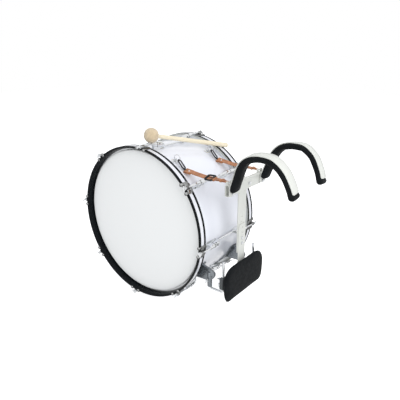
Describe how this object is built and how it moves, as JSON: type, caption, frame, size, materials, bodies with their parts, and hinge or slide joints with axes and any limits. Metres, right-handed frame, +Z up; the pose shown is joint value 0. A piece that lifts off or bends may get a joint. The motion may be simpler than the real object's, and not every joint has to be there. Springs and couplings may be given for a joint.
{
  "type": "marching bass drum",
  "caption": "Marching bass drum with two heads, tensioned hoops, a shoulder carrier with arms, straps and a belly pad, and a felt mallet lying on top.",
  "frame": {"origin": "on the floor, below the middle of the whole object", "axes": "+X along the drum's axis to the far head, +Y from the player towards the drum, +Z up"},
  "size_m": [0.3736, 0.9168, 0.6737],
  "materials": {
    "white_wrap": "white gloss wrap on a wooden shell",
    "head_film": "smooth off-white coated film",
    "black_lacquer": "black lacquered wood with a white outer band",
    "chrome": "polished chrome plate",
    "aluminium": "plain aluminium",
    "black_steel": "black painted steel",
    "cream_paint": "cream-white paint",
    "black_plastic": "black moulded plastic",
    "black_foam": "black foam pad with a fine skin",
    "tan_leather": "tan leather",
    "pale_wood": "pale varnished wood",
    "cream_felt": "cream felt"
  },
  "bodies": {
    "drum": {"shell": "white_wrap", "near_head": "head_film", "near_flesh_hoop": "aluminium", "near_hoop": "black_lacquer", "near_strap_plate": "chrome", "near_drum_bracket": "chrome", "near_hook_rod": "chrome", "far_head": "head_film", "far_flesh_hoop": "aluminium", "far_hoop": "black_lacquer", "far_strap_plate": "chrome", "far_drum_bracket": "chrome", "far_hook_rod": "chrome"},
    "carrier_frame": {"upright_bar": "cream_paint", "crossbar": "cream_paint", "crossbar_bolt": "chrome", "near_arm_bolt": "chrome", "near_strap": "tan_leather", "near_buckle": "black_steel", "far_arm_bolt": "chrome", "far_strap": "tan_leather", "far_buckle": "black_steel"},
    "belly_unit": {"belly_plate": "cream_paint", "belly_pad": "black_foam", "plate_bolt_1": "chrome", "plate_bolt_2": "chrome", "near_clamp": "black_plastic", "far_clamp": "black_plastic"},
    "near_arm": {"near_shoulder_strip": "cream_paint", "near_shoulder_pad": "black_foam"},
    "far_arm": {"far_shoulder_strip": "cream_paint", "far_shoulder_pad": "black_foam"},
    "near_ring": {"near_strap_ring": "chrome"},
    "near_hook": {"near_snap_hook": "black_steel"},
    "far_ring": {"far_strap_ring": "chrome"},
    "far_hook": {"far_snap_hook": "black_steel"},
    "near_rod_1": {"near_rod_1": "chrome"},
    "near_rod_2": {"near_rod_2": "chrome"},
    "near_rod_3": {"near_rod_3": "chrome"},
    "near_rod_4": {"near_rod_4": "chrome"},
    "near_rod_5": {"near_rod_5": "chrome"},
    "near_rod_6": {"near_rod_6": "chrome"},
    "near_rod_7": {"near_rod_7": "chrome"},
    "near_rod_8": {"near_rod_8": "chrome"},
    "far_rod_1": {"far_rod_1": "chrome"},
    "far_rod_2": {"far_rod_2": "chrome"},
    "far_rod_3": {"far_rod_3": "chrome"},
    "far_rod_4": {"far_rod_4": "chrome"},
    "far_rod_5": {"far_rod_5": "chrome"},
    "far_rod_6": {"far_rod_6": "chrome"},
    "far_rod_7": {"far_rod_7": "chrome"},
    "far_rod_8": {"far_rod_8": "chrome"},
    "near_bracket_screw": {"near_bracket_screw": "chrome"},
    "near_clamp_screw_1": {"near_clamp_screw_1": "chrome"},
    "near_clamp_screw_2": {"near_clamp_screw_2": "chrome"},
    "far_bracket_screw": {"far_bracket_screw": "chrome"},
    "far_clamp_screw_1": {"far_clamp_screw_1": "chrome"},
    "far_clamp_screw_2": {"far_clamp_screw_2": "chrome"},
    "mallet": {"mallet_head": "cream_felt", "mallet_shaft": "pale_wood"}
  },
  "joints": [
    {"name": "carrier_height", "type": "slide", "parent": "drum", "child": "carrier_frame", "axis": [0, 0, 1], "range_m": [0, 0.04]},
    {"name": "belly_height", "type": "slide", "parent": "carrier_frame", "child": "belly_unit", "axis": [0, 0, 1], "range_m": [0, 0.0412]},
    {"name": "near_arm_spread", "type": "hinge", "parent": "carrier_frame", "child": "near_arm", "pos_m": [-0.0995, -0.22865, 0.48972], "axis": [0, -1, 0], "range_deg": [-5, 8]},
    {"name": "far_arm_spread", "type": "hinge", "parent": "carrier_frame", "child": "far_arm", "pos_m": [0.09449, -0.22865, 0.48972], "axis": [0, 1, 0], "range_deg": [-5, 8]},
    {"name": "near_ring_swing", "type": "hinge", "parent": "drum", "child": "near_ring", "pos_m": [-0.0995, 0.01489, 0.57003], "axis": [1, 0, 0], "range_deg": [-35, 2]},
    {"name": "near_hook_swing", "type": "hinge", "parent": "near_ring", "child": "near_hook", "pos_m": [-0.0995, 0, 0.56721], "axis": [1, 0, 0], "range_deg": [-15, 2]},
    {"name": "far_ring_swing", "type": "hinge", "parent": "drum", "child": "far_ring", "pos_m": [0.09449, 0.01489, 0.57003], "axis": [1, 0, 0], "range_deg": [-12, 2]},
    {"name": "far_hook_swing", "type": "hinge", "parent": "far_ring", "child": "far_hook", "pos_m": [0.09449, 0, 0.56721], "axis": [1, 0, 0], "range_deg": [-15, 2]},
    {"name": "near_rod_1_turn", "type": "hinge", "parent": "drum", "child": "near_rod_1", "pos_m": [-0.1775, 0.11165, 0.61428], "axis": [1, 0, 0], "continuous": true},
    {"name": "near_rod_2_turn", "type": "hinge", "parent": "drum", "child": "near_rod_2", "pos_m": [-0.1775, -0.09272, 0.50146], "axis": [1, 0, 0], "continuous": true},
    {"name": "near_rod_3_turn", "type": "hinge", "parent": "drum", "child": "near_rod_3", "pos_m": [-0.1775, -0.15745, 0.27718], "axis": [1, 0, 0], "continuous": true},
    {"name": "near_rod_4_turn", "type": "hinge", "parent": "drum", "child": "near_rod_4", "pos_m": [-0.1775, -0.04464, 0.07282], "axis": [1, 0, 0], "continuous": true},
    {"name": "near_rod_5_turn", "type": "hinge", "parent": "drum", "child": "near_rod_5", "pos_m": [-0.1775, 0.17964, 0.00808], "axis": [1, 0, 0], "continuous": true},
    {"name": "near_rod_6_turn", "type": "hinge", "parent": "drum", "child": "near_rod_6", "pos_m": [-0.1775, 0.38401, 0.1209], "axis": [1, 0, 0], "continuous": true},
    {"name": "near_rod_7_turn", "type": "hinge", "parent": "drum", "child": "near_rod_7", "pos_m": [-0.1775, 0.44875, 0.34518], "axis": [1, 0, 0], "continuous": true},
    {"name": "near_rod_8_turn", "type": "hinge", "parent": "drum", "child": "near_rod_8", "pos_m": [-0.1775, 0.33593, 0.54954], "axis": [1, 0, 0], "continuous": true},
    {"name": "far_rod_1_turn", "type": "hinge", "parent": "drum", "child": "far_rod_1", "pos_m": [0.1725, 0.11165, 0.61428], "axis": [1, 0, 0], "continuous": true},
    {"name": "far_rod_2_turn", "type": "hinge", "parent": "drum", "child": "far_rod_2", "pos_m": [0.1725, -0.09272, 0.50146], "axis": [1, 0, 0], "continuous": true},
    {"name": "far_rod_3_turn", "type": "hinge", "parent": "drum", "child": "far_rod_3", "pos_m": [0.1725, -0.15745, 0.27718], "axis": [1, 0, 0], "continuous": true},
    {"name": "far_rod_4_turn", "type": "hinge", "parent": "drum", "child": "far_rod_4", "pos_m": [0.1725, -0.04464, 0.07282], "axis": [1, 0, 0], "continuous": true},
    {"name": "far_rod_5_turn", "type": "hinge", "parent": "drum", "child": "far_rod_5", "pos_m": [0.1725, 0.17964, 0.00808], "axis": [1, 0, 0], "continuous": true},
    {"name": "far_rod_6_turn", "type": "hinge", "parent": "drum", "child": "far_rod_6", "pos_m": [0.1725, 0.38401, 0.1209], "axis": [1, 0, 0], "continuous": true},
    {"name": "far_rod_7_turn", "type": "hinge", "parent": "drum", "child": "far_rod_7", "pos_m": [0.1725, 0.44875, 0.34518], "axis": [1, 0, 0], "continuous": true},
    {"name": "far_rod_8_turn", "type": "hinge", "parent": "drum", "child": "far_rod_8", "pos_m": [0.1725, 0.33593, 0.54954], "axis": [1, 0, 0], "continuous": true},
    {"name": "near_bracket_screw_turn", "type": "hinge", "parent": "drum", "child": "near_bracket_screw", "pos_m": [-0.1125, -0.14405, 0.14323], "axis": [1, 0, 0], "continuous": true},
    {"name": "near_clamp_screw_1_turn", "type": "hinge", "parent": "belly_unit", "child": "near_clamp_screw_1", "pos_m": [-0.1035, -0.19435, 0.15923], "axis": [0, 1, 0], "continuous": true},
    {"name": "near_clamp_screw_2_turn", "type": "hinge", "parent": "belly_unit", "child": "near_clamp_screw_2", "pos_m": [-0.1035, -0.19435, 0.13323], "axis": [0, 1, 0], "continuous": true},
    {"name": "far_bracket_screw_turn", "type": "hinge", "parent": "drum", "child": "far_bracket_screw", "pos_m": [0.10749, -0.14405, 0.14323], "axis": [1, 0, 0], "continuous": true},
    {"name": "far_clamp_screw_1_turn", "type": "hinge", "parent": "belly_unit", "child": "far_clamp_screw_1", "pos_m": [0.09849, -0.19435, 0.15923], "axis": [0, 1, 0], "continuous": true},
    {"name": "far_clamp_screw_2_turn", "type": "hinge", "parent": "belly_unit", "child": "far_clamp_screw_2", "pos_m": [0.09849, -0.19435, 0.13323], "axis": [0, 1, 0], "continuous": true},
    {"name": "mallet_lift", "type": "slide", "parent": "drum", "child": "mallet", "axis": [0, 0, 1], "range_m": [0, 0.25]}
  ]
}
